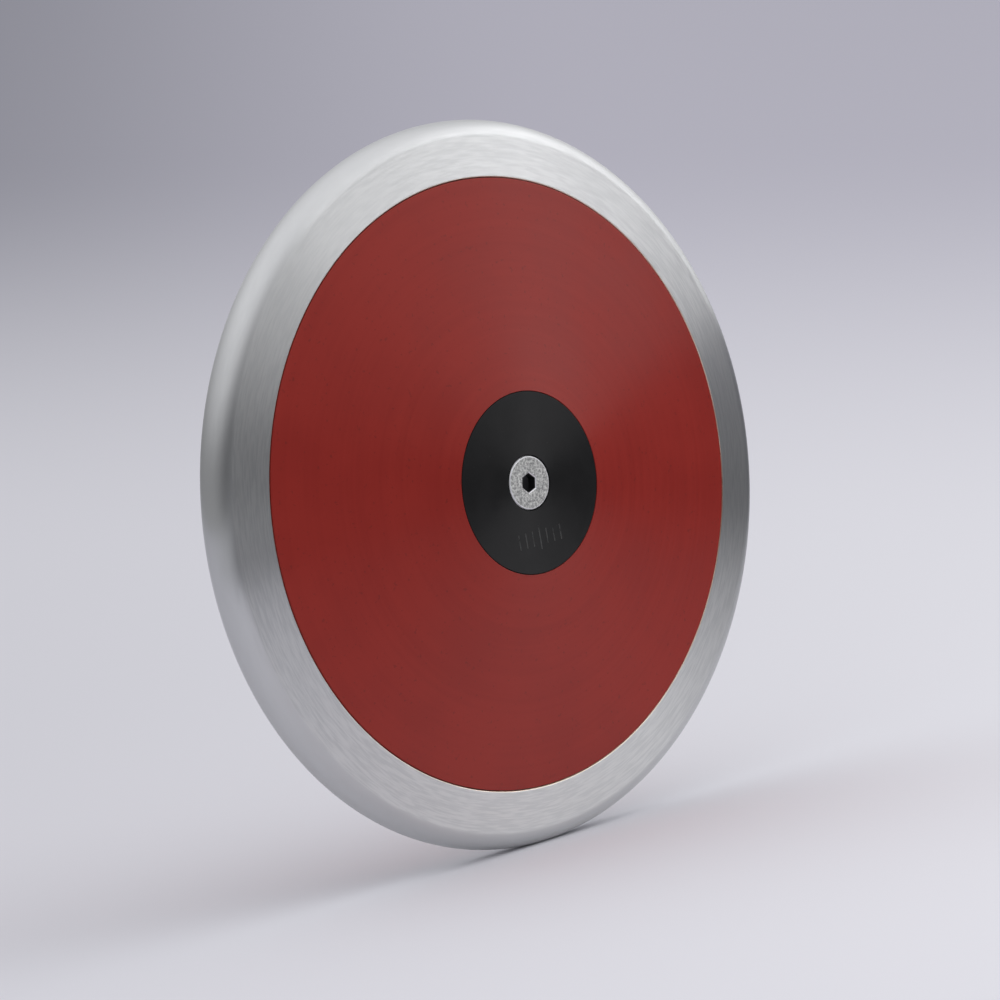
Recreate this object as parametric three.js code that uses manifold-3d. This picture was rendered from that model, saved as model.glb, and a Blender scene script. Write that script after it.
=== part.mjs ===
// Discus for throwing: a turned steel rim with a moulded cone let into each side, a flat plate in
// the middle of each cone, and a countersunk screw from each side into one threaded sleeve.
// Lengths are in millimetres. The discus stands on its rim: +Z is up, and it spins about Y.
// The origin is the middle of the discus. The front faces -Y.
import * as THREE from "three";
import { mergeVertices, toCreasedNormals } from "three/addons/utils/BufferGeometryUtils.js";
import Module from "manifold-3d";

// Whole discus, within the sizes that the rules of throwing set
const DISCUS_DIAMETER = 210;
const CENTRE_THICKNESS = 42;

// Rim
const NOSE_RADIUS = 6.25;
const RIM_FACE_WIDTH = 16.8;
const RIM_CHAMFER = 0.5;
const WEB_REACH = 10;
const WEB_THICKNESS = 4;
const NOSE_STEPS = 10;

// Side plates
const SIDE_WALL = 4;
const FOOT_WIDTH = 4;
const SIDE_CHAMFER = 0.3;
const CUP_WALL = 3;
const FLOOR_THICKNESS = 5;
const POCKET_DEPTH = 2;
const RING_RIB_WIDTH = 3;
const RIB_WIDTH = 2;
const RIB_DEPTH = 4;
const RIB_COUNT = 12;

// Pegs and sockets that key the two side plates together through the web of the rim
const PEG_DIAMETER = 5;
const PEG_REACH = 4;
const PEG_BOSS_DIAMETER = 9;
const PEG_COUNT = 6;

// Gaskets between the side plates and the web
const GASKET_THICKNESS = 0.5;

// Centre plates
const CENTRE_PLATE_DIAMETER = 52.4;
const CENTRE_PLATE_THICKNESS = 4.5;
const CENTRE_PLATE_CHAMFER = 0.3;

// Centre screws, metric eight countersunk with a socket for a five millimetre key
const SCREW_DIAMETER = 8;
const SCREW_LENGTH = 16;
const HEAD_DIAMETER = 15.6;
const HEAD_EDGE = 0.5;
const HEAD_SINK = 0.1;
const HEAD_CHAMFER = 0.25;
const SCREW_TIP_CHAMFER = 1;
const SOCKET_FLATS = 5;
const SOCKET_DEPTH = 3.2;
const SOCKET_CONE_DEPTH = 1;

// Threaded sleeve between the two sides
const SLEEVE_FLATS = 14;

// Ballast on the sleeve
const BALLAST_DIAMETER = 48;
const BALLAST_THICKNESS = 1.8;
const TRIM_DIAMETER = 32;
const TRIM_THICKNESS = 0.6;
const TRIM_COUNT = 2;

// Clearances
const FIT_GAP = 0.3;
const PLATE_GAP = 0.2;
const OVERRUN = 1;

// Segments of the round pieces
const LARGE_SEGMENTS = 72;
const SMALL_SEGMENTS = 36;
const PEG_SEGMENTS = 16;
const HEXAGON_SIDES = 6;
const CREASE_ANGLE = Math.PI / 6;

// Sizes that follow
const discusRadius = DISCUS_DIAMETER / 2;
const centreHeight = CENTRE_THICKNESS / 2;
const noseCentre = discusRadius - NOSE_RADIUS;
const seatRadius = discusRadius - RIM_FACE_WIDTH;
const webHeight = WEB_THICKNESS / 2;
const webInnerRadius = seatRadius - WEB_REACH;
const pegCircleRadius = seatRadius - WEB_REACH / 2;
const pegHoleRadius = PEG_DIAMETER / 2 + FIT_GAP;
const footHeight = webHeight + GASKET_THICKNESS;
const footOuterRadius = seatRadius - PLATE_GAP;
const footInnerRadius = footOuterRadius - FOOT_WIDTH;
const centrePlateRadius = CENTRE_PLATE_DIAMETER / 2;
const recessRadius = centrePlateRadius + PLATE_GAP;
const cupRadius = recessRadius + CUP_WALL;
const recessHeight = centreHeight - CENTRE_PLATE_THICKNESS;
const floorHeight = recessHeight - FLOOR_THICKNESS;
const pocketHeight = floorHeight + POCKET_DEPTH;
const screwRadius = SCREW_DIAMETER / 2;
const screwHoleRadius = screwRadius + FIT_GAP;
const headRadius = HEAD_DIAMETER / 2;
const headTop = centreHeight - HEAD_SINK;
const headRim = headTop - HEAD_EDGE;
const sleeveCornerRadius = cornerRadius(SLEEVE_FLATS);
const ballastBoreRadius = sleeveCornerRadius + FIT_GAP;
const trimBottom = floorHeight - TRIM_COUNT * TRIM_THICKNESS;
const ballastBottom = trimBottom - BALLAST_THICKNESS;

// The side is a cone from the edge of the centre plate to where it meets the round nose smoothly.
const flatToNose = Math.hypot(noseCentre - recessRadius, centreHeight);
const flatToNoseAngle = Math.atan2(noseCentre - recessRadius, centreHeight);
const coneAngle = Math.acos(NOSE_RADIUS / flatToNose) - flatToNoseAngle;

function coneHeight(radius) {
  return centreHeight - (radius - recessRadius) * Math.tan(coneAngle);
}

function innerHeight(radius) {
  return coneHeight(radius) - SIDE_WALL / Math.cos(coneAngle);
}

function cornerRadius(acrossFlats) {
  return acrossFlats / 2 / Math.cos(Math.PI / HEXAGON_SIDES);
}

// Materials
const polishedSteel = new THREE.MeshStandardMaterial({ color: 0xc9c9cd, roughness: 0.3, metalness: 1 });
const zincSteel = new THREE.MeshStandardMaterial({ color: 0xa9a9a6, roughness: 0.5, metalness: 1 });
const plainSteel = new THREE.MeshStandardMaterial({ color: 0x8d8f92, roughness: 0.45, metalness: 1 });
const redPlastic = new THREE.MeshStandardMaterial({ color: 0x93362d, roughness: 0.45, metalness: 0 });
const blackPlastic = new THREE.MeshStandardMaterial({ color: 0x242425, roughness: 0.5, metalness: 0 });
const blackRubber = new THREE.MeshStandardMaterial({ color: 0x1b1b1c, roughness: 0.9, metalness: 0 });

// Solids that are joined and cut
const wasm = await Module();
wasm.setup();

function solidOf(geometry) {
  const bare = geometry.clone();
  bare.deleteAttribute("normal");
  bare.deleteAttribute("uv");
  const merged = mergeVertices(bare);
  return new wasm.Manifold(
    new wasm.Mesh({
      numProp: 3,
      vertProperties: merged.getAttribute("position").array,
      triVerts: new Uint32Array(merged.getIndex().array),
    }),
  );
}

function geometryOf(solid) {
  const mesh = solid.getMesh();
  const geometry = new THREE.BufferGeometry();
  geometry.setAttribute("position", new THREE.BufferAttribute(mesh.vertProperties, mesh.numProp));
  geometry.setIndex(new THREE.BufferAttribute(mesh.triVerts, 1));
  return geometry;
}

function cut(body, tools) {
  return geometryOf(tools.reduce((solid, tool) => solid.subtract(solidOf(tool)), solidOf(body)));
}

function join(body, additions) {
  return geometryOf(additions.reduce((solid, added) => solid.add(solidOf(added)), solidOf(body)));
}

// Shapes: a section is a list of radius and height pairs, anticlockwise, and turns about Y.
function revolve(section, segments) {
  const points = section.map(([radius, height]) => new THREE.Vector2(radius, height));
  return new THREE.LatheGeometry(points, segments);
}

function closedRing(section, segments) {
  return revolve([...section, section[0]], segments);
}

function flatRing(innerRadius, outerRadius, bottom, top, segments) {
  const section = [
    [innerRadius, bottom],
    [outerRadius, bottom],
    [outerRadius, top],
    [innerRadius, top],
  ];
  return closedRing(section, segments);
}

function upright(radius, bottom, top, sides) {
  const prism = new THREE.CylinderGeometry(radius, radius, top - bottom, sides);
  return prism.translate(0, (bottom + top) / 2, 0);
}

function onPegCircle(geometry, index) {
  const turn = (index * 2 * Math.PI) / PEG_COUNT;
  return geometry.translate(0, 0, pegCircleRadius).rotateY(turn);
}

function pegHoles(bottom, top, wanted = () => true) {
  const indices = [...Array(PEG_COUNT).keys()].filter(wanted);
  return indices.map((index) => onPegCircle(upright(pegHoleRadius, bottom, top, PEG_SEGMENTS), index));
}

function piece(name, geometry, material) {
  const mesh = new THREE.Mesh(toCreasedNormals(geometry, CREASE_ANGLE), material);
  mesh.name = name;
  return mesh;
}

// Rim: round nose, a land in line with each cone, a shoulder for each side plate and a web
function makeRim() {
  const shoulder = [
    [seatRadius, webHeight],
    [seatRadius, coneHeight(seatRadius) - RIM_CHAMFER],
    [seatRadius + RIM_CHAMFER, coneHeight(seatRadius + RIM_CHAMFER)],
  ];
  const noseTurn = Math.PI / 2 - coneAngle;
  const nose = [];
  for (let step = 0; step <= NOSE_STEPS; step += 1) {
    const turn = noseTurn * ((2 * step) / NOSE_STEPS - 1);
    nose.push([noseCentre + NOSE_RADIUS * Math.cos(turn), NOSE_RADIUS * Math.sin(turn)]);
  }
  const section = [
    [webInnerRadius, -webHeight],
    ...shoulder.map(([radius, height]) => [radius, -height]),
    ...nose,
    ...[...shoulder].reverse(),
    [webInnerRadius, webHeight],
  ];
  const ring = closedRing(section, LARGE_SEGMENTS);
  return cut(ring, pegHoles(-webHeight - OVERRUN, webHeight + OVERRUN));
}

// Space for the centre screw: a hole and a countersink that clear the screw all round
function screwPassage() {
  const sinkRadius = headRadius + FIT_GAP;
  const section = [
    [0, floorHeight - OVERRUN],
    [screwHoleRadius, floorHeight - OVERRUN],
    [screwHoleRadius, headRim - (sinkRadius - screwHoleRadius)],
    [sinkRadius, headRim],
    [sinkRadius, centreHeight + OVERRUN],
    [0, centreHeight + OVERRUN],
  ];
  return revolve(section, SMALL_SEGMENTS);
}

// Side plate: a cone of even wall with a cup for the centre plate and a foot that sits in the rim
function makeSidePlate() {
  const shell = revolve(
    [
      [0, floorHeight],
      [cupRadius, floorHeight],
      [cupRadius, innerHeight(cupRadius)],
      [footInnerRadius, innerHeight(footInnerRadius)],
      [footInnerRadius, footHeight],
      [footOuterRadius, footHeight],
      [footOuterRadius, coneHeight(footOuterRadius) - SIDE_CHAMFER],
      [footOuterRadius - SIDE_CHAMFER, coneHeight(footOuterRadius - SIDE_CHAMFER)],
      [recessRadius, centreHeight],
      [recessRadius, recessHeight],
      [0, recessHeight],
    ],
    LARGE_SEGMENTS,
  );
  const additions = [ringRib(), ...radialRibs(), ...pegBosses()];
  const sockets = pegHoles(footHeight - OVERRUN, footHeight + PEG_REACH + FIT_GAP, (index) => index % 2);
  const pocketRadius = cornerRadius(SLEEVE_FLATS + 2 * FIT_GAP);
  const pocket = upright(pocketRadius, floorHeight - OVERRUN, pocketHeight, HEXAGON_SIDES);
  return cut(join(shell, additions), [...sockets, pocket, screwPassage()]);
}

// One ring rib half way out, which all but meets the rib of the other side plate
function ringRib() {
  const middle = (cupRadius + footInnerRadius) / 2;
  const inner = middle - RING_RIB_WIDTH / 2;
  const outer = middle + RING_RIB_WIDTH / 2;
  const section = [
    [inner, FIT_GAP / 2],
    [outer, FIT_GAP / 2],
    [outer, innerHeight(outer) + SIDE_WALL / 2],
    [inner, innerHeight(inner) + SIDE_WALL / 2],
  ];
  return closedRing(section, LARGE_SEGMENTS);
}

function radialRibs() {
  const inner = cupRadius - CUP_WALL / 2;
  const outer = footInnerRadius + FOOT_WIDTH / 2;
  const outline = new THREE.Shape([
    new THREE.Vector2(inner, innerHeight(cupRadius) - RIB_DEPTH),
    new THREE.Vector2(outer, innerHeight(footInnerRadius) - RIB_DEPTH / 2),
    new THREE.Vector2(outer, innerHeight(outer) + SIDE_WALL / 2),
    new THREE.Vector2(inner, innerHeight(inner) + SIDE_WALL / 2),
  ]);
  const ribs = [];
  for (let index = 0; index < RIB_COUNT; index += 1) {
    const rib = new THREE.ExtrudeGeometry(outline, { depth: RIB_WIDTH, bevelEnabled: false });
    rib.translate(0, 0, -RIB_WIDTH / 2);
    ribs.push(rib.rotateY(((index + 1 / 2) * 2 * Math.PI) / RIB_COUNT));
  }
  return ribs;
}

// Every boss has either a peg or a socket, turn about, so a turned over plate meets its twin.
function pegBosses() {
  const bosses = [];
  for (let index = 0; index < PEG_COUNT; index += 1) {
    const top = innerHeight(pegCircleRadius) + SIDE_WALL / 2;
    bosses.push(onPegCircle(upright(PEG_BOSS_DIAMETER / 2, footHeight, top, SMALL_SEGMENTS), index));
    if (index % 2 === 0) {
      const peg = upright(PEG_DIAMETER / 2, -footHeight - PEG_REACH, footHeight + PEG_REACH, PEG_SEGMENTS);
      bosses.push(onPegCircle(peg, index));
    }
  }
  return bosses;
}

function makeGasket() {
  const ring = flatRing(webInnerRadius, seatRadius - FIT_GAP, webHeight, footHeight, SMALL_SEGMENTS);
  return cut(ring, pegHoles(webHeight - OVERRUN, footHeight + OVERRUN));
}

function makeCentrePlate() {
  const plate = revolve(
    [
      [0, recessHeight],
      [centrePlateRadius, recessHeight],
      [centrePlateRadius, centreHeight - CENTRE_PLATE_CHAMFER],
      [centrePlateRadius - CENTRE_PLATE_CHAMFER, centreHeight],
      [0, centreHeight],
    ],
    LARGE_SEGMENTS,
  );
  return cut(plate, [screwPassage()]);
}

function makeCentreScrew() {
  const tip = headTop - SCREW_LENGTH;
  const body = revolve(
    [
      [0, tip],
      [screwRadius - SCREW_TIP_CHAMFER, tip],
      [screwRadius, tip + SCREW_TIP_CHAMFER],
      [screwRadius, headRim - (headRadius - screwRadius)],
      [headRadius, headRim],
      [headRadius, headTop - HEAD_CHAMFER],
      [headRadius - HEAD_CHAMFER, headTop],
      [0, headTop],
    ],
    SMALL_SEGMENTS,
  );
  const socketFloor = headTop - SOCKET_DEPTH;
  const socket = upright(cornerRadius(SOCKET_FLATS), socketFloor, headTop + OVERRUN, HEXAGON_SIDES);
  const drillRadius = SOCKET_FLATS / 2;
  const drillPoint = revolve(
    [
      [0, socketFloor - SOCKET_CONE_DEPTH],
      [drillRadius, socketFloor],
      [drillRadius, socketFloor + OVERRUN],
      [0, socketFloor + OVERRUN],
    ],
    SMALL_SEGMENTS,
  );
  return cut(body, [socket, drillPoint]);
}

// Sleeve: hexagonal bar, each end in a pocket in the floor of a side plate
function makeCoreSleeve() {
  const bar = upright(sleeveCornerRadius, -pocketHeight, pocketHeight, HEXAGON_SIDES);
  const bore = upright(screwHoleRadius, -pocketHeight - OVERRUN, pocketHeight + OVERRUN, SMALL_SEGMENTS);
  return cut(bar, [bore]);
}

function makeTrimWasher(index) {
  const top = floorHeight - index * TRIM_THICKNESS;
  return flatRing(ballastBoreRadius, TRIM_DIAMETER / 2, top - TRIM_THICKNESS, top, SMALL_SEGMENTS);
}

function makeBallastDisc() {
  return flatRing(ballastBoreRadius, BALLAST_DIAMETER / 2, ballastBottom, trimBottom, SMALL_SEGMENTS);
}

function makeRubberSpacer() {
  const outer = BALLAST_DIAMETER / 2;
  return flatRing(ballastBoreRadius, outer, -ballastBottom, ballastBottom, SMALL_SEGMENTS);
}

// One side of the discus, with its face towards +Y
function makeSide(side) {
  const group = new THREE.Group();
  group.add(piece(`${side}_side_plate`, makeSidePlate(), redPlastic));
  group.add(piece(`${side}_seat_gasket`, makeGasket(), blackRubber));
  group.add(piece(`${side}_centre_plate`, makeCentrePlate(), blackPlastic));
  group.add(piece(`${side}_centre_screw`, makeCentreScrew(), zincSteel));
  group.add(piece(`${side}_ballast_disc`, makeBallastDisc(), plainSteel));
  for (let index = 0; index < TRIM_COUNT; index += 1) {
    group.add(piece(`${side}_trim_washer_${index + 1}`, makeTrimWasher(index), plainSteel));
  }
  return group;
}

// Discus: the two sides are the same pieces, and the front one is turned over
const discus = new THREE.Group();
discus.add(piece("rim", makeRim(), polishedSteel));
discus.add(piece("core_sleeve", makeCoreSleeve(), plainSteel));
discus.add(piece("rubber_spacer", makeRubberSpacer(), blackRubber));
const front = makeSide("front");
front.rotation.x = Math.PI;
discus.add(front);
discus.add(makeSide("back"));

export default discus;
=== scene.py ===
"""A throwing discus: fine turned and moulded pieces around the fixed frame, on a plain studio floor."""

import math

import bmesh
import bpy
from mathutils import Matrix, Vector


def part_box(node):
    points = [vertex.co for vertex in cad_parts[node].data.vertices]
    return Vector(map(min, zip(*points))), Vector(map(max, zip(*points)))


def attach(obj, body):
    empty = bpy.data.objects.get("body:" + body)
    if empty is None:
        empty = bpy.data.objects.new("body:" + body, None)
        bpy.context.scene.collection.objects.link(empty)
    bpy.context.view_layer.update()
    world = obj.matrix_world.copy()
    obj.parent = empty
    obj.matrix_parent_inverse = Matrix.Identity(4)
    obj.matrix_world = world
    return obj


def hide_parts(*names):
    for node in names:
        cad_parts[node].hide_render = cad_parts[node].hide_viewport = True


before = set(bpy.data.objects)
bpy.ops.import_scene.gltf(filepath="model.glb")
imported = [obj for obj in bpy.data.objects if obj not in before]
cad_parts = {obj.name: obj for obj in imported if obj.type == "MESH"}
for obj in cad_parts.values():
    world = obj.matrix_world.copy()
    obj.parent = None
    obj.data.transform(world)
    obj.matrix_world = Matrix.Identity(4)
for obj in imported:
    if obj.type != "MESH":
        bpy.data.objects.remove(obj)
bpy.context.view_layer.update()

MM = 0.001

# Sizes read from the frame, in metres
RIM_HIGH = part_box("rim")[1]
SIDE_LOW, SIDE_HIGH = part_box("back_side_plate")
PLATE_LOW, PLATE_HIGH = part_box("back_centre_plate")
SCREW_LOW, SCREW_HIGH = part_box("back_centre_screw")
GASKET_LOW, GASKET_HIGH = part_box("back_seat_gasket")
SLEEVE_LOW, SLEEVE_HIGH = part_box("core_sleeve")

DISCUS_RADIUS = RIM_HIGH.x
CENTRE_HEIGHT = SIDE_HIGH.y
FOOT_RADIUS = SIDE_HIGH.x
FOOT_HEIGHT = GASKET_HIGH.y
WEB_HEIGHT = GASKET_LOW.y
PLATE_RADIUS = PLATE_HIGH.x
RECESS_HEIGHT = PLATE_LOW.y
HEAD_RADIUS = SCREW_HIGH.x
HEAD_TOP = SCREW_HIGH.y
SCREW_TIP = SCREW_LOW.y
POCKET_HEIGHT = SLEEVE_HIGH.y
SLEEVE_FLATS = SLEEVE_HIGH.x - SLEEVE_LOW.x
PEG_TIP = SIDE_LOW.y

# Sizes inside those pieces, as the solids have them
NOSE_RADIUS = 6.25 * MM
PLATE_GAP = 0.2 * MM
FIT_GAP = 0.3 * MM
WEB_REACH = 10 * MM
SIDE_WALL = 4 * MM
FOOT_WIDTH = 4 * MM
CUP_WALL = 3 * MM
FLOOR_THICKNESS = 5 * MM
RING_RIB_WIDTH = 3 * MM
RIB_WIDTH = 2 * MM
RIB_DEPTH = 4 * MM
RIB_COUNT = 12
PEG_RADIUS = 2.5 * MM
PEG_BOSS_RADIUS = 4.5 * MM
PEG_COUNT = 6
SCREW_RADIUS = 4 * MM
HEAD_EDGE = 0.5 * MM
SOCKET_FLATS = 5 * MM
SOCKET_DEPTH = 3.2 * MM
SOCKET_LEAD = 0.35 * MM
SOCKET_TURN = math.radians(-12)
DRILL_DEPTH = 1 * MM
OVERRUN = 1 * MM
HEXAGON_SIDES = 6

# Row of plain index marks on the front centre plate
MARK_SIDE_COUNT = 3
MARK_SPACING = 2.7 * MM
MARK_WIDTH = 0.5 * MM
MARK_ROOT = 0.08 * MM
MARK_HEIGHT = 4.5 * MM
MIDDLE_MARK_HEIGHT = 7 * MM
MARK_DROP = 16 * MM
MARK_SHIFT = 0.5 * MM
MARK_DEPTH = 0.22 * MM
MARK_STEPS = 8

# Fine detail of the surfaces
RIM_EDGE = 0.4 * MM
EDGE_ROUND = 0.25 * MM
SMALL_ROUND = 0.12 * MM
HEAD_CHAMFER = 0.3 * MM
SUPPORT = 0.04 * MM
ROUND_STEPS = 6
CREASE = math.radians(30)
FINE_SEGMENTS = 720
INNER_SEGMENTS = 180
PEG_SEGMENTS = 32
NOSE_STEPS = 64

# Sizes that follow
SEAT_RADIUS = FOOT_RADIUS + PLATE_GAP
RECESS_RADIUS = PLATE_RADIUS + PLATE_GAP
NOSE_CENTRE = DISCUS_RADIUS - NOSE_RADIUS
WEB_RADIUS = SEAT_RADIUS - WEB_REACH
PEG_CIRCLE = SEAT_RADIUS - WEB_REACH / 2
PEG_HOLE_RADIUS = PEG_RADIUS + FIT_GAP
CUP_RADIUS = RECESS_RADIUS + CUP_WALL
FOOT_INNER_RADIUS = FOOT_RADIUS - FOOT_WIDTH
FLOOR_HEIGHT = RECESS_HEIGHT - FLOOR_THICKNESS
HEAD_RIM = HEAD_TOP - HEAD_EDGE
SCREW_HOLE_RADIUS = SCREW_RADIUS + FIT_GAP
FLAT_TO_NOSE = math.hypot(NOSE_CENTRE - RECESS_RADIUS, CENTRE_HEIGHT)
CONE_ANGLE = math.acos(NOSE_RADIUS / FLAT_TO_NOSE) - math.atan2(NOSE_CENTRE - RECESS_RADIUS, CENTRE_HEIGHT)
NOSE_START = NOSE_CENTRE + NOSE_RADIUS * math.sin(CONE_ANGLE)

# Camera at the photograph's viewing angle
CAMERA_AZIMUTH = math.radians(-42.2)
CAMERA_ELEVATION = math.radians(7.0)
CAMERA_ROLL = math.radians(9.8)
CAMERA_DISTANCE = 3.45
CAMERA_LENS = 432.0
SENSOR_WIDTH = 36.0
CAMERA_REACH = 100
AIM_RIGHT = 0.0057
AIM_UP = -0.0044

# Colours, as linear red, green and blue
LAND_DARK = (0.64, 0.645, 0.65)
LAND_LIGHT = (0.72, 0.722, 0.722)
NOSE_GREY = (0.62, 0.625, 0.63)
# Warm pale colour at the rim's inner edge: a painted highlight
EDGE_HIGHLIGHT = (0.86, 0.74, 0.6)
RED_DARK = (0.27, 0.0225, 0.0176)
RED_LIGHT = (0.301, 0.026, 0.0198)
RED_SPECK = (0.14, 0.018, 0.016)
RED_SHEEN = (1.0, 0.5, 0.45, 1.0)
BLACK_DARK = (0.0133, 0.0132, 0.0135)
BLACK_LIGHT = (0.0163, 0.0162, 0.0165)
DUST_GREY = (0.09, 0.09, 0.09)
# Grey in the engraved marks: dust and a painted glint
MARK_DUST_AND_GLINT = (0.12, 0.12, 0.118)
ZINC_DARK = (0.27, 0.27, 0.27)
ZINC_LIGHT = (0.72, 0.72, 0.7)
# Pale edges of the screw heads: worn plating with a painted highlight
ZINC_WORN_AND_HIGHLIT = (0.86, 0.86, 0.88)
# Dark in the screws' sockets: grime and painted shade
SOCKET_GRIME_AND_SHADE = (0.11, 0.11, 0.112)
FITTING_DARK = (0.26, 0.265, 0.275)
FITTING_LIGHT = (0.38, 0.39, 0.4)
RUBBER_DARK = (0.009, 0.009, 0.009)
RUBBER_LIGHT = (0.018, 0.018, 0.018)

# How far a noise's values are used to each side of their middle
NOISE_MIDDLE = 0.5
SOFT = 0.2
FIRM = 0.15
SHARP = 0.14

# Detail of the rim's steel
STREAK_WIDTH = 0.5 * MM
STREAKS_A_TURN = 100
STREAK_DEPTH = 0.005 * MM
STREAK_WEAR = 0.06
CALM_HEIGHTS = (30 * MM, 85 * MM)
CALM_SHARE = 0.35
NOSE_BLEND = 1 * MM
LAND_ROUGHNESS = 0.4
NOSE_POLISH = 0.07
# The rim's inner edge: a painted highlight fading out between these radii, and a smoother finish
EDGE_START = 0.15 * MM
EDGE_END = 0.4 * MM
EDGE_POLISH = 0.3

# Detail of the red plastic
RED_CLOUDS = 22 * MM
RING_WIDTH = 1.4 * MM
RINGS_UNEVEN = 3
RING_SHARE = 0.4
RING_DEPTH = 0.04 * MM
RED_GRAIN = 0.5 * MM
RED_GRAIN_DEPTH = 0.003 * MM
SPECK_SIZE = 1.2 * MM
SPECK_RANGE = (0.64, 0.72)
SPECK_STRENGTH = 0.5
RED_ROUGHNESS = (0.4, 0.44)

# Detail of the black plastic
BLACK_CLOUDS = 7 * MM
DUST_SIZE = 0.6 * MM
DUST_RANGE = (0.7, 0.78)
DUST_STRENGTH = 0.3
# The marks' grey, dust and a painted glint, lies within these depths and radii, in patches
MARK_EDGES = (0.02 * MM, 0.08 * MM)
MARK_ZONE_START = 1 * MM
MARK_ZONE_END = 1.5 * MM
PATCH_SIZE = 1.2 * MM
PATCH_RANGE = (0.3, 0.6)
PATCH_LEAST = 0.3
BLACK_ROUGHNESS = (0.36, 0.42)
BLACK_SPECULAR = 0.17
BLACK_GRAIN = 0.35 * MM
BLACK_GRAIN_DEPTH = 0.006 * MM

# Detail of the zinc plated screws
ZINC_SPOTS = 0.7 * MM
# Where the screw heads turn pale: worn plating with a painted highlight
WORN_AND_HIGHLIT_RIM = (0.6 * MM, 0.3 * MM)
WORN_AND_HIGHLIT_EDGES = (0.03 * MM, 0.1 * MM)
# Depths where the screw turns dark: grime and painted shade
GRIME_AND_SHADE_DEPTHS = (0.3 * MM, 0.6 * MM)
ZINC_ROUGHNESS = (0.36, 0.55)
ZINC_GRAIN = 0.45 * MM
ZINC_GRAIN_DEPTH = 0.05 * MM

# Detail of the hidden fittings
OXIDE_CLOUDS = 4 * MM
TURNING_WIDTH = 0.4 * MM
TURNINGS_UNEVEN = 20
TURNING_DEPTH = 0.008 * MM
FITTING_ROUGHNESS = (0.34, 0.48)
RUBBER_GRAIN = 0.5 * MM
RUBBER_GRAIN_DEPTH = 0.02 * MM
RUBBER_ROUGHNESS = (0.72, 0.88)

# Studio floor: directions across and away from the camera, colours with painted light and shade, and where
# they change, in metres
FLOOR_SIZE = 20
VIEW_RIGHT = (0.741, -0.672, 0.0)
VIEW_AWAY = (0.672, 0.741, 0.0)
FAR_SHADE_AXIS = (0.98, -0.19, 0.0)
# Near floor: darker to the left, a painted shadow of the discus, and lighter in front, painted light
FLOOR_LEFT = (0.65, 0.645, 0.685)
FLOOR_RIGHT = (0.755, 0.75, 0.79)
FLOOR_SIDES = (-0.25, 0.25)
FLOOR_DEPTHS = (-0.3, 0.5)
FLOOR_LEVELS = (1.08, 1.0)
# Farther off the floor darkens, more so to the left: painted shade
FAR_SHADE_LEFT = (0.302, 0.3, 0.339)
FAR_SHADE_RIGHT = (0.488, 0.477, 0.541)
FAR_SHADE_SIDES = (-0.3, 0.1)
FAR_SHADE_DEPTHS = (0.3, 1.15)
# Floor beyond the view's sides: painted dark as the shade of a room, grey in front and to the left
DARK_ROOM_SHADE = (0.06, 0.061, 0.066)
GREY_PAPER = (0.6, 0.602, 0.618)
STRIP_RIGHT = (0.27, 0.4)
STRIP_LEFT = (-0.5, -0.28)
STRIP_FRONT = (-0.65, -0.38)
PALE_BACK = (-0.08, 0.15)
GREY_FRONT_SIDES = (-0.1, 0.2)
GREY_FRONT_DEPTHS = (-1.35, -1.15)
GREY_LEFT = (-0.45, -0.3)

# Studio light: a soft box, and a dome whose colours change with the direction's X, Y and Z
SOFTBOX_PLACE = (1.576, -1.055, 0.636)
SOFTBOX_SIZE = (2.6, 1.43)
SOFTBOX_WATTS = 13.2
HORIZON_FRONT = (0.9, 0.903, 0.92)
HORIZON_BACK = (0.258, 0.26, 0.27)
HORIZON_LEFT = (0.4, 0.402, 0.41)
HORIZON_DARK = (0.06, 0.061, 0.066)
CEILING_FRONT = (0.982, 0.985, 1.006)
CEILING_BACK = (0.721, 0.725, 0.743)
ZENITH = (1.08, 1.084, 1.108)
FRONT_TO_BACK = (-0.35, 0.6)
LEFT_TO_REST = (-0.6, 0.1)
DARK_TO_REST = (-0.787, -0.587)
CEILING_FRONT_TO_BACK = (-0.5, 0.5)
CEILING_TO_ZENITH = (0.6, 0.9)
HORIZON_TO_CEILING = (0.235, 0.643)

# A shader's rotation is given as a share of a whole turn
QUARTER_TURN = 0.25

# Sockets of a Mix node that mixes colours
MIX_INPUTS = (6, 7)
MIX_OUTPUT = 2


def cone_height(radius):
    """Height of the conical side above the middle plane."""
    return CENTRE_HEIGHT - (radius - RECESS_RADIUS) * math.tan(CONE_ANGLE)


def inner_height(radius):
    return cone_height(radius) - SIDE_WALL / math.cos(CONE_ANGLE)


def corner_radius(across_flats):
    return across_flats / 2 / math.cos(math.pi / HEXAGON_SIDES)


# Meshes
def fillet(corners):
    """The closed outline with each corner rounded: corners are (radius, height, rounding)."""
    outline = []
    count = len(corners)
    for index, (x, y, rounding) in enumerate(corners):
        here = Vector((x, y))
        if not rounding:
            outline.append((x, y))
            continue
        before = Vector(corners[index - 1][:2]) - here
        after = Vector(corners[(index + 1) % count][:2]) - here
        half = before.angle(after) / 2
        back = rounding / math.tan(half)
        middle = here + (before.normalized() + after.normalized()).normalized() * rounding / math.sin(half)
        start = here + before.normalized() * back
        end = here + after.normalized() * back
        outline.append(tuple(start + before.normalized() * SUPPORT))
        sweep = (start - middle).angle_signed(end - middle)
        for step in range(ROUND_STEPS + 1):
            turn = Matrix.Rotation(-sweep * step / ROUND_STEPS, 2)
            outline.append(tuple(middle + turn @ (start - middle)))
        outline.append(tuple(end + after.normalized() * SUPPORT))
    return outline


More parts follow.
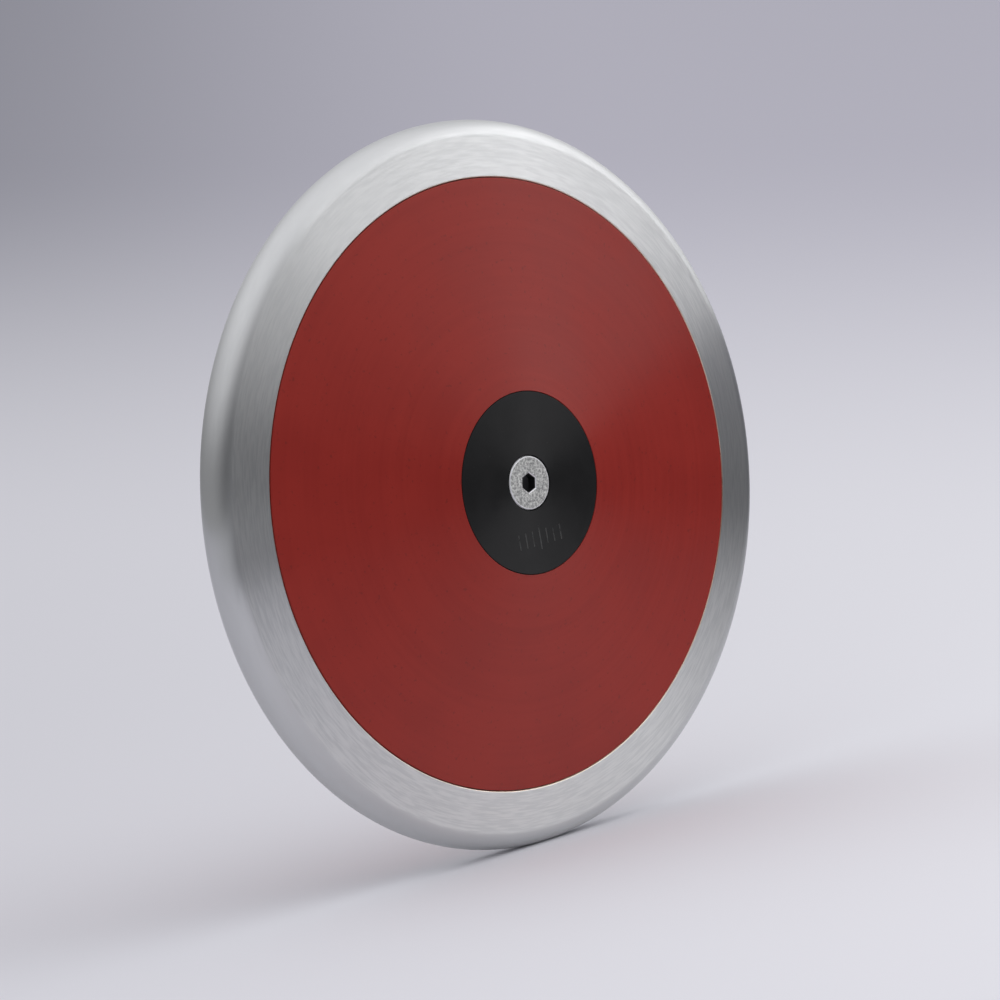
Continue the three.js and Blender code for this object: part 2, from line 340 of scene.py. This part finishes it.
def revolve(name, outline, segments):
    """A closed mesh: the outline, anticlockwise in radius and height, turned about Y."""
    mesh = bmesh.new()
    rings = []
    for radius, height in outline:
        if not radius:
            rings.append([mesh.verts.new((0, height, 0))] * segments)
            continue
        ring = []
        for index in range(segments):
            turn = 2 * math.pi * index / segments
            ring.append(mesh.verts.new((radius * math.sin(turn), height, radius * math.cos(turn))))
        rings.append(ring)
    for lower, upper in zip(rings, rings[1:] + rings[:1]):
        for index in range(segments):
            following = (index + 1) % segments
            loop = [lower[index], lower[following], upper[following], upper[index]]
            corners = list(dict.fromkeys(loop))
            if len(corners) > 2:
                mesh.faces.new(corners)
    return finish_mesh(name, mesh)


def finish_mesh(name, mesh):
    data = bpy.data.meshes.new(name)
    mesh.to_mesh(data)
    mesh.free()
    obj = bpy.data.objects.new(name, data)
    bpy.context.scene.collection.objects.link(obj)
    return obj


def upright(name, radius, bottom, top, sides):
    """A prism along Y, with one of its corners towards +Z."""
    return revolve(name, [(0, bottom), (radius, bottom), (radius, top), (0, top)], sides)


def transform(obj, matrix):
    obj.data.transform(matrix)
    return obj


def on_peg_circle(obj, index):
    turn = Matrix.Rotation(index * 2 * math.pi / PEG_COUNT, 4, "Y")
    return transform(obj, turn @ Matrix.Translation((0, 0, PEG_CIRCLE)))


def peg_holes(bottom, top, wanted):
    holes = []
    for index in wanted:
        hole = upright("hole", PEG_HOLE_RADIUS, bottom, top, PEG_SEGMENTS)
        holes.append(on_peg_circle(hole, index))
    return holes


def combine(body, tools, operation):
    """Joins the tools to the body, or cuts them from it, and deletes them."""
    for tool in tools:
        modifier = body.modifiers.new(operation, "BOOLEAN")
        modifier.object = tool
        modifier.operation = operation
        modifier.solver = "MANIFOLD"
    bpy.context.view_layer.update()
    evaluated = body.evaluated_get(bpy.context.evaluated_depsgraph_get())
    data = bpy.data.meshes.new_from_object(evaluated)
    data.name = body.name
    body.modifiers.clear()
    body.data = data
    for tool in tools:
        bpy.data.objects.remove(tool)
    return body


def smooth(obj):
    obj.data.shade_smooth()
    obj.data.set_sharp_from_angle(angle=CREASE)
    return obj


# Rim
def make_rim():
    shoulder = [(SEAT_RADIUS, WEB_HEIGHT, 0), (SEAT_RADIUS, cone_height(SEAT_RADIUS), RIM_EDGE)]
    nose_turn = math.pi / 2 - CONE_ANGLE
    nose = []
    for step in range(NOSE_STEPS + 1):
        turn = nose_turn * (2 * step / NOSE_STEPS - 1)
        nose.append((NOSE_CENTRE + NOSE_RADIUS * math.cos(turn), NOSE_RADIUS * math.sin(turn), 0))
    corners = [
        (WEB_RADIUS, -WEB_HEIGHT, 0),
        *[(radius, -height, rounding) for radius, height, rounding in shoulder],
        *nose,
        *reversed(shoulder),
        (WEB_RADIUS, WEB_HEIGHT, 0),
    ]
    rim = revolve("turned_rim", fillet(corners), FINE_SEGMENTS)
    holes = peg_holes(-WEB_HEIGHT - OVERRUN, WEB_HEIGHT + OVERRUN, range(PEG_COUNT))
    return smooth(combine(rim, holes, "DIFFERENCE"))


# Side plates
def screw_passage():
    sink = HEAD_RADIUS + FIT_GAP
    outline = [
        (0, FLOOR_HEIGHT - OVERRUN),
        (SCREW_HOLE_RADIUS, FLOOR_HEIGHT - OVERRUN),
        (SCREW_HOLE_RADIUS, HEAD_RIM - (sink - SCREW_HOLE_RADIUS)),
        (sink, HEAD_RIM),
        (sink, CENTRE_HEIGHT + OVERRUN),
        (0, CENTRE_HEIGHT + OVERRUN),
    ]
    return revolve("passage", outline, INNER_SEGMENTS)


def ring_rib():
    middle = (CUP_RADIUS + FOOT_INNER_RADIUS) / 2
    inner = middle - RING_RIB_WIDTH / 2
    outer = middle + RING_RIB_WIDTH / 2
    outline = [
        (inner, FIT_GAP / 2),
        (outer, FIT_GAP / 2),
        (outer, inner_height(outer) + SIDE_WALL / 2),
        (inner, inner_height(inner) + SIDE_WALL / 2),
    ]
    return revolve("ring_rib", outline, INNER_SEGMENTS)


def radial_rib(index):
    inner = CUP_RADIUS - CUP_WALL / 2
    outer = FOOT_INNER_RADIUS + FOOT_WIDTH / 2
    outline = [
        (inner, inner_height(CUP_RADIUS) - RIB_DEPTH),
        (outer, inner_height(FOOT_INNER_RADIUS) - RIB_DEPTH / 2),
        (outer, inner_height(outer) + SIDE_WALL / 2),
        (inner, inner_height(inner) + SIDE_WALL / 2),
    ]
    mesh = bmesh.new()
    near = [mesh.verts.new((radius, height, RIB_WIDTH / 2)) for radius, height in outline]
    far = [mesh.verts.new((radius, height, -RIB_WIDTH / 2)) for radius, height in outline]
    mesh.faces.new(near)
    mesh.faces.new(reversed(far))
    for corner in range(len(outline)):
        following = (corner + 1) % len(outline)
        mesh.faces.new([near[corner], far[corner], far[following], near[following]])
    turn = (index + 1 / 2) * 2 * math.pi / RIB_COUNT
    return transform(finish_mesh("rib", mesh), Matrix.Rotation(turn, 4, "Y"))


def peg_bosses():
    top = inner_height(PEG_CIRCLE) + SIDE_WALL / 2
    bosses = []
    for index in range(PEG_COUNT):
        boss = upright("boss", PEG_BOSS_RADIUS, FOOT_HEIGHT, top, PEG_SEGMENTS)
        bosses.append(on_peg_circle(boss, index))
        if index % 2 == 0:
            peg = upright("peg", PEG_RADIUS, PEG_TIP, -PEG_TIP, PEG_SEGMENTS)
            bosses.append(on_peg_circle(peg, index))
    return bosses


def make_side_plate(side):
    corners = [
        (0, FLOOR_HEIGHT, 0),
        (CUP_RADIUS, FLOOR_HEIGHT, SMALL_ROUND),
        (CUP_RADIUS, inner_height(CUP_RADIUS), 0),
        (FOOT_INNER_RADIUS, inner_height(FOOT_INNER_RADIUS), 0),
        (FOOT_INNER_RADIUS, FOOT_HEIGHT, 0),
        (FOOT_RADIUS, FOOT_HEIGHT, 0),
        (FOOT_RADIUS, cone_height(FOOT_RADIUS), EDGE_ROUND),
        (RECESS_RADIUS, CENTRE_HEIGHT, SMALL_ROUND),
        (RECESS_RADIUS, RECESS_HEIGHT, 0),
        (0, RECESS_HEIGHT, 0),
    ]
    plate = revolve(side + "_moulded_side", fillet(corners), FINE_SEGMENTS)
    ribs = [ring_rib(), *[radial_rib(index) for index in range(RIB_COUNT)], *peg_bosses()]
    combine(plate, ribs, "UNION")
    sockets = peg_holes(FOOT_HEIGHT - OVERRUN, -PEG_TIP + FIT_GAP, range(1, PEG_COUNT, 2))
    pocket_radius = corner_radius(SLEEVE_FLATS + 2 * FIT_GAP)
    pocket = upright("pocket", pocket_radius, FLOOR_HEIGHT - OVERRUN, POCKET_HEIGHT, HEXAGON_SIDES)
    combine(plate, [*sockets, pocket, screw_passage()], "DIFFERENCE")
    return smooth(plate)


# Centre plates
def make_centre_plate(side):
    corners = [
        (0, RECESS_HEIGHT, 0),
        (PLATE_RADIUS, RECESS_HEIGHT, SMALL_ROUND),
        (PLATE_RADIUS, CENTRE_HEIGHT, SMALL_ROUND),
        (0, CENTRE_HEIGHT, 0),
    ]
    plate = revolve(side + "_centre_disc", fillet(corners), FINE_SEGMENTS)
    combine(plate, [screw_passage()], "DIFFERENCE")
    return smooth(plate)


def groove_outline(across, length, width):
    """The outline of an upright groove with round ends, as (x, z)."""
    outline = []
    for end in (1, -1):
        for step in range(MARK_STEPS + 1):
            turn = math.pi * step / MARK_STEPS
            x = across + end * width / 2 * math.cos(turn)
            z = -MARK_DROP + end * (length + width * math.sin(turn)) / 2
            outline.append((x, z))
    return outline


def mark_tool(across, height):
    """A wedge that cuts one mark, a groove with sloping sides, in the front face."""
    length = height - MARK_WIDTH
    slope = (MARK_WIDTH - MARK_ROOT) / MARK_DEPTH
    mesh = bmesh.new()
    rings = []
    for depth, width in ((MARK_DEPTH, MARK_ROOT), (-OVERRUN, MARK_WIDTH + slope * OVERRUN)):
        outline = groove_outline(across, length, width)
        rings.append([mesh.verts.new((x, -CENTRE_HEIGHT + depth, z)) for x, z in outline])
    inner, outer = rings
    mesh.faces.new(reversed(inner))
    mesh.faces.new(outer)
    for corner in range(len(inner)):
        following = (corner + 1) % len(inner)
        mesh.faces.new([inner[corner], inner[following], outer[following], outer[corner]])
    return finish_mesh("mark", mesh)


def engrave_marks(plate):
    """A row of plain index marks, the middle one longer."""
    tools = []
    for index in range(-MARK_SIDE_COUNT, MARK_SIDE_COUNT + 1):
        height = MARK_HEIGHT if index else MIDDLE_MARK_HEIGHT
        tools.append(mark_tool(MARK_SHIFT + index * MARK_SPACING, height))
    return smooth(combine(plate, tools, "DIFFERENCE"))


# Centre screws
def make_screw(side):
    head_bottom = HEAD_RIM - (HEAD_RADIUS - SCREW_RADIUS)
    corners = [
        (0, SCREW_TIP, 0),
        (SCREW_RADIUS - OVERRUN, SCREW_TIP, SMALL_ROUND),
        (SCREW_RADIUS, SCREW_TIP + OVERRUN, SMALL_ROUND),
        (SCREW_RADIUS, head_bottom, 0),
        (HEAD_RADIUS, HEAD_RIM, 0),
        (HEAD_RADIUS, HEAD_TOP - HEAD_CHAMFER, 0),
        (HEAD_RADIUS - HEAD_CHAMFER, HEAD_TOP, SMALL_ROUND),
        (0, HEAD_TOP, 0),
    ]
    screw = revolve(side + "_countersunk_screw", fillet(corners), INNER_SEGMENTS)
    floor = HEAD_TOP - SOCKET_DEPTH
    corner = corner_radius(SOCKET_FLATS)
    lead = corner + SOCKET_LEAD
    lead_bottom = HEAD_TOP - SOCKET_LEAD
    above = HEAD_TOP + OVERRUN
    socket = upright("socket", corner, floor, above, HEXAGON_SIDES)
    lead_in = [(0, lead_bottom), (corner, lead_bottom), (lead, HEAD_TOP), (lead, above), (0, above)]
    bore = SOCKET_FLATS / 2
    drill = [(0, floor - DRILL_DEPTH), (bore, floor), (bore, floor + OVERRUN), (0, floor + OVERRUN)]
    tools = [socket, revolve("drill", drill, INNER_SEGMENTS), revolve("lead", lead_in, HEXAGON_SIDES)]
    for tool in tools:
        transform(tool, Matrix.Rotation(SOCKET_TURN, 4, "Y"))
    combine(screw, tools, "DIFFERENCE")
    return smooth(screw)


def turn_over(obj):
    """Takes a piece of the back side to the front side."""
    return transform(obj, Matrix.Rotation(math.pi, 4, "X"))


# Materials
class Nodes:
    """The nodes of a material or of the world, and short ways to add to them."""

    def __init__(self, tree):
        self.tree = tree

    def node(self, kind, inputs=None, **settings):
        made = self.tree.nodes.new("ShaderNode" + kind)
        for name, value in settings.items():
            setattr(made, name, value)
        for name, value in (inputs or {}).items():
            self.feed(made.inputs[name], value)
        return made

    def feed(self, socket, value):
        if isinstance(value, bpy.types.NodeSocket):
            self.tree.links.new(value, socket)
        else:
            socket.default_value = value

    def math(self, operation, first, second=0.0):
        return self.node("Math", {0: first, 1: second}, operation=operation).outputs[0]

    def ramp(self, value, low, high, start=0.0, stop=1.0):
        """The value taken smoothly from the range low to high onto start to stop."""
        inputs = {"Value": value, "From Min": low, "From Max": high, "To Min": start, "To Max": stop}
        return self.node("MapRange", inputs, interpolation_type="SMOOTHSTEP").outputs["Result"]

    def blend(self, factor, first, second):
        """The first colour where the factor is 0 and the second where it is 1."""
        mixed = self.node("Mix", {"Factor": factor}, data_type="RGBA")
        for index, colour in zip(MIX_INPUTS, (first, second)):
            given = isinstance(colour, bpy.types.NodeSocket)
            self.feed(mixed.inputs[index], colour if given else (*colour, 1))
        return mixed.outputs[MIX_OUTPUT]


class Shader(Nodes):
    """A material's Principled shader, its plain roughness and metallic, and the patterns that feed it."""

    def __init__(self, name, roughness, metallic=0.0):
        self.material = bpy.data.materials.new(name)
        self.material.use_nodes = True
        super().__init__(self.material.node_tree)
        self.surface = self.tree.nodes["Principled BSDF"]
        self.put("Roughness", roughness)
        self.put("Metallic", metallic)
        self.place = self.node("TexCoord").outputs["Object"]
        axes = self.node("SeparateXYZ", {"Vector": self.place}).outputs
        self.across, self.height, self.up = axes["X"], axes["Y"], axes["Z"]
        across_squared = self.math("MULTIPLY", self.across, self.across)
        up_squared = self.math("MULTIPLY", self.up, self.up)
        self.radius = self.math("SQRT", self.math("ADD", across_squared, up_squared))

    def put(self, name, value):
        self.feed(self.surface.inputs[name], value)

    def noise(self, size, detail=3.0, roughness=0.5):
        """Even mottling whose lumps are about size across."""
        inputs = {"Vector": self.place, "Scale": 1 / size, "Detail": detail, "Roughness": roughness}
        return self.node("TexNoise", inputs).outputs["Fac"]

    def grooves(self, width, turns, detail=2.0):
        """Lines round the spin axis, width apart, with about so many streaks to a turn."""
        scale = turns / 2 / math.pi
        vector = self.node("CombineXYZ", {
            "X": self.math("MULTIPLY", self.math("DIVIDE", self.across, self.radius), scale),
            "Y": self.math("MULTIPLY", self.math("DIVIDE", self.up, self.radius), scale),
            "Z": self.math("DIVIDE", self.radius, width),
        }).outputs["Vector"]
        level = self.math("DIVIDE", self.height, width)
        inputs = {"Vector": vector, "W": level, "Scale": 1.0, "Detail": detail}
        return self.node("TexNoise", inputs, noise_dimensions="4D").outputs["Fac"]

    def spread(self, noise, reach, start=0.0, stop=1.0):
        """The middle part of a noise's values, reach to each side, taken onto start to stop."""
        return self.ramp(noise, NOISE_MIDDLE - reach, NOISE_MIDDLE + reach, start, stop)

    def depth(self, face_height):
        """How deep a point lies under the plate's or screw's outer face, on either side."""
        return self.math("SUBTRACT", face_height, self.math("ABSOLUTE", self.height))

    def turned(self):
        """A lathe's fine lines round the axis, which spread each highlight along the radius."""
        self.put("Anisotropic", 1.0)
        self.put("Anisotropic Rotation", QUARTER_TURN)
        self.put("Tangent", self.node("Tangent", direction_type="RADIAL", axis="Y").outputs["Tangent"])

    def bump(self, height, depth, normal=None):
        inputs = {"Height": height, "Strength": 1.0, "Distance": depth}
        if normal is not None:
            inputs["Normal"] = normal
        return self.node("Bump", inputs).outputs["Normal"]


def make_rim_steel():
    """Turned steel: streaks that fade towards the top, a polished nose, and a burnished inner edge with a
    warm painted highlight.
    """
    steel = Shader("rim_steel", roughness=0.37, metallic=1.0)
    fine = steel.grooves(STREAK_WIDTH, STREAKS_A_TURN, detail=3.0)
    nose = steel.ramp(steel.radius, NOSE_START, NOSE_START + NOSE_BLEND)
    # Near the rim's inner edge the colour turns warm and pale: a painted highlight.
    face = steel.ramp(steel.radius, SEAT_RADIUS + EDGE_START, SEAT_RADIUS + EDGE_END)
    calm = steel.ramp(steel.up, *CALM_HEIGHTS, stop=CALM_SHARE)
    streaks = steel.spread(fine, SHARP, calm, steel.math("SUBTRACT", 1.0, calm))
    land = steel.blend(streaks, LAND_DARK, LAND_LIGHT)
    steel.put("Base Color", steel.blend(face, EDGE_HIGHLIGHT, steel.blend(nose, land, NOSE_GREY)))
    satin = steel.math("ADD", steel.math("MULTIPLY", nose, -NOSE_POLISH), LAND_ROUGHNESS)
    worn = steel.math("MULTIPLY", satin, steel.spread(fine, SOFT, 1 + STREAK_WEAR, 1 - STREAK_WEAR))
    burnish = steel.math("ADD", steel.math("MULTIPLY", face, EDGE_POLISH), 1 - EDGE_POLISH)
    steel.put("Roughness", steel.math("MULTIPLY", worn, burnish))
    steel.turned()
    steel.put("Normal", steel.bump(fine, STREAK_DEPTH))
    return steel.material


def make_red_plastic():
    """Moulded plastic: faint rings from the turned mould, uneven sheen and a few specks."""
    plastic = Shader("red_plastic", roughness=0.4)
    clouds = plastic.noise(RED_CLOUDS, detail=4.0)
    rings = plastic.grooves(RING_WIDTH, RINGS_UNEVEN)
    cloud_part = plastic.math("MULTIPLY", clouds, 1 - RING_SHARE)
    ring_part = plastic.math("MULTIPLY", rings, RING_SHARE)
    tone = plastic.spread(plastic.math("ADD", cloud_part, ring_part), SHARP)
    plain = plastic.blend(tone, RED_DARK, RED_LIGHT)
    specks = plastic.ramp(plastic.noise(SPECK_SIZE, detail=2.0), *SPECK_RANGE)
    speckled = plastic.blend(plastic.math("MULTIPLY", specks, SPECK_STRENGTH), plain, RED_SPECK)
    plastic.put("Base Color", speckled)
    plastic.put("Roughness", plastic.spread(clouds, SOFT, *RED_ROUGHNESS))
    plastic.put("Specular Tint", RED_SHEEN)
    plastic.turned()
    grain = plastic.bump(plastic.noise(RED_GRAIN), RED_GRAIN_DEPTH)
    plastic.put("Normal", plastic.bump(rings, RING_DEPTH, grain))
    return plastic.material


def make_black_plastic():
    """Satin black plastic with a fine grain, a little dust, and engraved marks grey in patches, partly dust
    and partly a painted glint.
    """
    plastic = Shader("black_plastic", roughness=0.45)
    clouds = plastic.noise(BLACK_CLOUDS, detail=4.0)
    plain = plastic.blend(plastic.spread(clouds, SOFT), BLACK_DARK, BLACK_LIGHT)
    dust = plastic.ramp(plastic.noise(DUST_SIZE, detail=2.0), *DUST_RANGE)
    dusty = plastic.blend(plastic.math("MULTIPLY", dust, DUST_STRENGTH), plain, DUST_GREY)
    # The engraved marks turn grey in patches: dust and a painted glint.
    engraved = plastic.ramp(plastic.depth(CENTRE_HEIGHT), *MARK_EDGES)
    zone_start = (HEAD_RADIUS + MARK_ZONE_START, HEAD_RADIUS + MARK_ZONE_END)
    zone_end = (PLATE_RADIUS - MARK_ZONE_END, PLATE_RADIUS - MARK_ZONE_START)
    after_start = plastic.ramp(plastic.radius, *zone_start)
    before_end = plastic.ramp(plastic.radius, *zone_end, 1.0, 0.0)
    marks = plastic.math("MULTIPLY", engraved, plastic.math("MULTIPLY", after_start, before_end))
    patches = plastic.ramp(plastic.noise(PATCH_SIZE), *PATCH_RANGE, start=PATCH_LEAST)
    plastic.put("Base Color", plastic.blend(plastic.math("MULTIPLY", marks, patches), dusty, MARK_DUST_AND_GLINT))
    plastic.put("Roughness", plastic.spread(clouds, SOFT, *BLACK_ROUGHNESS))
    plastic.put("Specular IOR Level", BLACK_SPECULAR)
    plastic.turned()
    plastic.put("Normal", plastic.bump(plastic.noise(BLACK_GRAIN), BLACK_GRAIN_DEPTH))
    return plastic.material


def make_zinc_steel():
    """Zinc plated steel, mottled and a little rough, with worn edges lightened by a painted highlight, and a
    socket darkened by grime and painted shade.
    """
    zinc = Shader("zinc_steel", roughness=0.45, metallic=1.0)
    spots = zinc.noise(ZINC_SPOTS, detail=5.0, roughness=0.7)
    face = zinc.blend(zinc.spread(spots, SHARP), ZINC_DARK, ZINC_LIGHT)
    depth = zinc.depth(HEAD_TOP)
    # Pale at the head's rim and just under its face: worn plating with a painted highlight.
    rim_start, rim_end = WORN_AND_HIGHLIT_RIM
    edge = zinc.ramp(zinc.radius, HEAD_RADIUS - rim_start, HEAD_RADIUS - rim_end)
    worn = zinc.math("MAXIMUM", edge, zinc.ramp(depth, *WORN_AND_HIGHLIT_EDGES))
    # Dark deep in the socket and below the head: grime and painted shade.
    socket = zinc.math("MULTIPLY", zinc.ramp(depth, *GRIME_AND_SHADE_DEPTHS), zinc.math("SUBTRACT", 1.0, edge))
    zinc.put("Base Color", zinc.blend(socket, zinc.blend(worn, face, ZINC_WORN_AND_HIGHLIT), SOCKET_GRIME_AND_SHADE))
    zinc.put("Roughness", zinc.spread(spots, FIRM, *ZINC_ROUGHNESS))
    zinc.put("Normal", zinc.bump(zinc.noise(ZINC_GRAIN, detail=4.0, roughness=0.6), ZINC_GRAIN_DEPTH))
    return zinc.material


def make_plain_steel():
    """Machined steel of the hidden fittings, with fine turning marks and a dull oxide."""
    steel = Shader("plain_steel", roughness=0.4, metallic=1.0)
    clouds = steel.noise(OXIDE_CLOUDS, detail=4.0)
    marks = steel.grooves(TURNING_WIDTH, TURNINGS_UNEVEN)
    steel.put("Base Color", steel.blend(steel.spread(clouds, SOFT), FITTING_DARK, FITTING_LIGHT))
    steel.put("Roughness", steel.spread(marks, SOFT, *FITTING_ROUGHNESS))
    steel.put("Normal", steel.bump(marks, TURNING_DEPTH))
    return steel.material


def make_black_rubber():
    """Dull black rubber with a fine open grain."""
    rubber = Shader("black_rubber", roughness=0.8)
    grain = rubber.noise(RUBBER_GRAIN)
    rubber.put("Base Color", rubber.blend(rubber.spread(grain, SOFT), RUBBER_DARK, RUBBER_LIGHT))
    rubber.put("Roughness", rubber.spread(grain, SOFT, *RUBBER_ROUGHNESS))
    rubber.put("Normal", rubber.bump(grain, RUBBER_GRAIN_DEPTH))
    return rubber.material


looks = {
    "rim_steel": make_rim_steel(),
    "red_plastic": make_red_plastic(),
    "black_plastic": make_black_plastic(),
    "zinc_steel": make_zinc_steel(),
    "plain_steel": make_plain_steel(),
    "black_rubber": make_black_rubber(),
}


def dress(obj, slot):
    obj.data.materials.clear()
    obj.data.materials.append(looks[slot])


def add_piece(piece, slot, node):
    """Dresses a new piece and puts it in the place of a solid."""
    dress(piece, slot)
    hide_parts(node)
    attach(piece, "root")


# The outer pieces, made for the back side and turned over for the front
add_piece(make_rim(), "rim_steel", "rim")
for side in ("front", "back"):
    side_plate = make_side_plate(side)
    centre_plate = make_centre_plate(side)
    screw = make_screw(side)
    if side == "front":
        for piece in (side_plate, centre_plate, screw):
            turn_over(piece)
        engrave_marks(centre_plate)
    add_piece(side_plate, "red_plastic", side + "_side_plate")
    add_piece(centre_plate, "black_plastic", side + "_centre_plate")
    add_piece(screw, "zinc_steel", side + "_centre_screw")

# The hidden pieces keep their solids
hidden_looks = {
    "gasket": "black_rubber",
    "spacer": "black_rubber",
    "washer": "plain_steel",
    "ballast": "plain_steel",
    "sleeve": "plain_steel",
}
for name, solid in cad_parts.items():
    for word, slot in hidden_looks.items():
        if word in name:
            dress(solid, slot)


# Camera
def make_camera():
    level = math.cos(CAMERA_ELEVATION)
    back = Vector((
        math.sin(CAMERA_AZIMUTH) * level,
        -math.cos(CAMERA_AZIMUTH) * level,
        math.sin(CAMERA_ELEVATION),
    ))
    level_right = Vector((math.cos(CAMERA_AZIMUTH), math.sin(CAMERA_AZIMUTH), 0))
    level_up = back.cross(level_right)
    right = level_right * math.cos(CAMERA_ROLL) - level_up * math.sin(CAMERA_ROLL)
    up = back.cross(right)
    data = bpy.data.cameras.new("camera")
    data.lens = CAMERA_LENS
    data.sensor_width = SENSOR_WIDTH
    data.clip_end = CAMERA_REACH
    camera = bpy.data.objects.new("camera", data)
    bpy.context.scene.collection.objects.link(camera)
    place = right * AIM_RIGHT + up * AIM_UP + back * CAMERA_DISTANCE
    turned = Matrix((right, up, back)).transposed().to_4x4()
    camera.matrix_world = Matrix.Translation(place) @ turned
    bpy.context.scene.camera = camera


make_camera()


# Studio
def make_floor():
    """A matt floor, pale where the camera sees it, lighter in front as painted light, darker to the left as
    a painted shadow and darker behind as painted shade; beyond its sides it is grey in places and elsewhere
    painted dark as the shade of a room.
    """
    mesh = bmesh.new()
    for x, y in ((-1, -1), (1, -1), (1, 1), (-1, 1)):
        mesh.verts.new((x * FLOOR_SIZE, y * FLOOR_SIZE, -DISCUS_RADIUS))
    mesh.faces.new(mesh.verts)
    floor = finish_mesh("floor", mesh)
    paper = Shader("floor", roughness=0.7)

    def along(axis):
        return paper.node("VectorMath", {0: paper.place, 1: axis}, operation="DOT_PRODUCT").outputs["Value"]

    right = along(VIEW_RIGHT)
    away = along(VIEW_AWAY)
    # Near the discus: darker to the left, a painted shadow, and lighter in front, painted light.
    beside = paper.blend(paper.ramp(right, *FLOOR_SIDES), FLOOR_LEFT, FLOOR_RIGHT)
    level = paper.ramp(away, *FLOOR_DEPTHS, *FLOOR_LEVELS)
    near = paper.node("VectorMath", {0: beside, "Scale": level}, operation="SCALE").outputs["Vector"]
    # Farther off, darker and more so to the left: painted shade.
    far = paper.blend(paper.ramp(right, *FAR_SHADE_SIDES), FAR_SHADE_LEFT, FAR_SHADE_RIGHT)
    seen = paper.blend(paper.ramp(along(FAR_SHADE_AXIS), *FAR_SHADE_DEPTHS), near, far)
    sides = paper.math("MULTIPLY", paper.ramp(right, *STRIP_RIGHT, 1.0, 0.0), paper.ramp(right, *STRIP_LEFT))
    strip = paper.math("MULTIPLY", sides, paper.ramp(away, *STRIP_FRONT))
    pale = paper.math("MAXIMUM", strip, paper.ramp(paper.height, *PALE_BACK))
    front_side = paper.ramp(paper.across, *GREY_FRONT_SIDES)
    front = paper.math("MULTIPLY", front_side, paper.ramp(paper.height, *GREY_FRONT_DEPTHS, 1.0, 0.0))
    left = paper.ramp(paper.across, *GREY_LEFT, 1.0, 0.0)
    # Beyond the view's sides: painted dark as the shade of a room, grey in front and to the left.
    unseen = paper.blend(paper.math("MAXIMUM", front, left), DARK_ROOM_SHADE, GREY_PAPER)
    paper.put("Base Color", paper.blend(pale, unseen, seen))
    paper.put("Specular IOR Level", 0.0)
    floor.data.materials.append(paper.material)


def make_softbox():
    data = bpy.data.lights.new("softbox", "AREA")
    data.shape = "RECTANGLE"
    data.size, data.size_y = SOFTBOX_SIZE
    data.energy = SOFTBOX_WATTS
    light = bpy.data.objects.new("softbox", data)
    light.location = SOFTBOX_PLACE
    light.rotation_euler = (-Vector(SOFTBOX_PLACE)).to_track_quat("-Z", "Y").to_euler()
    light.visible_camera = False
    bpy.context.scene.collection.objects.link(light)


def make_world():
    """A studio dome: pale above and in front, dimmer behind and at the left, dark low down in front."""
    world = bpy.data.worlds.new("studio")
    bpy.context.scene.world = world
    world.use_nodes = True
    dome = Nodes(world.node_tree)
    direction = dome.node("TexCoord").outputs["Generated"]
    axes = dome.node("SeparateXYZ", {"Vector": direction}).outputs
    across, away, up = axes["X"], axes["Y"], axes["Z"]
    around = dome.blend(dome.ramp(away, *FRONT_TO_BACK), HORIZON_FRONT, HORIZON_BACK)
    sides = dome.blend(dome.ramp(across, *LEFT_TO_REST), HORIZON_LEFT, around)
    horizon = dome.blend(dome.ramp(away, *DARK_TO_REST), HORIZON_DARK, sides)
    ceiling = dome.blend(dome.ramp(away, *CEILING_FRONT_TO_BACK), CEILING_FRONT, CEILING_BACK)
    above = dome.blend(dome.ramp(up, *CEILING_TO_ZENITH), ceiling, ZENITH)
    light = dome.blend(dome.ramp(up, *HORIZON_TO_CEILING), horizon, above)
    dome.feed(world.node_tree.nodes["Background"].inputs["Color"], light)


make_floor()
make_softbox()
make_world()

bpy.context.scene.view_settings.view_transform = "Standard"
